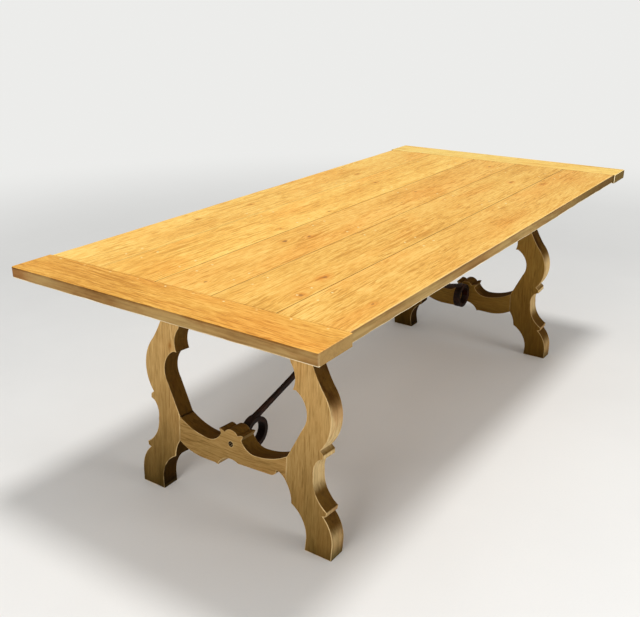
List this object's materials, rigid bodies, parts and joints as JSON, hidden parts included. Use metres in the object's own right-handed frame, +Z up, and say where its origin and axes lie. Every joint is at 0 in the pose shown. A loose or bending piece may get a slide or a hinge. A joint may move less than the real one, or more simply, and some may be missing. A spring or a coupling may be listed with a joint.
{
  "type": "farmhouse dining table",
  "caption": "Long farmhouse dining table: planked top with breadboard ends on leaning lyre trestles tied up to the top by forged iron stretchers.",
  "frame": {"origin": "on the floor, under the middle of the top", "axes": "+Z up, +X along the table away from the picture's near end, +Y across the table to the picture's left"},
  "size_m": [2.17, 1.016, 0.76],
  "materials": {
    "plank": "satin",
    "breadboard": "satin",
    "leg": "satin",
    "crossbar": "satin",
    "batten": "matte",
    "tenon": "matte",
    "peg": "satin",
    "iron": "dark waxed, forged",
    "fastener": "darkened"
  },
  "bodies": {
    "root": {"batten_screws_far": "fastener", "batten_screws_near": "fastener", "breadboard_end_far": "breadboard", "breadboard_end_near": "breadboard", "breadboard_pegs": "peg", "crossbar_far": "crossbar", "crossbar_near": "crossbar", "iron_stretcher_far": "iron", "iron_stretcher_near": "iron", "leg_left_far": "leg", "leg_left_near": "leg", "leg_right_far": "leg", "leg_right_near": "leg", "palm_screws_far": "fastener", "palm_screws_near": "fastener", "plank_pegs": "peg", "plank_tenons": "tenon", "stretcher_bolt_far": "fastener", "stretcher_bolt_near": "fastener", "stretcher_washer_far": "fastener", "stretcher_washer_near": "fastener", "top_batten_far": "batten", "top_batten_near": "batten", "top_plank_1": "plank", "top_plank_2": "plank", "top_plank_3": "plank", "top_plank_4": "plank", "top_plank_5": "plank"}
  },
  "joints": []
}
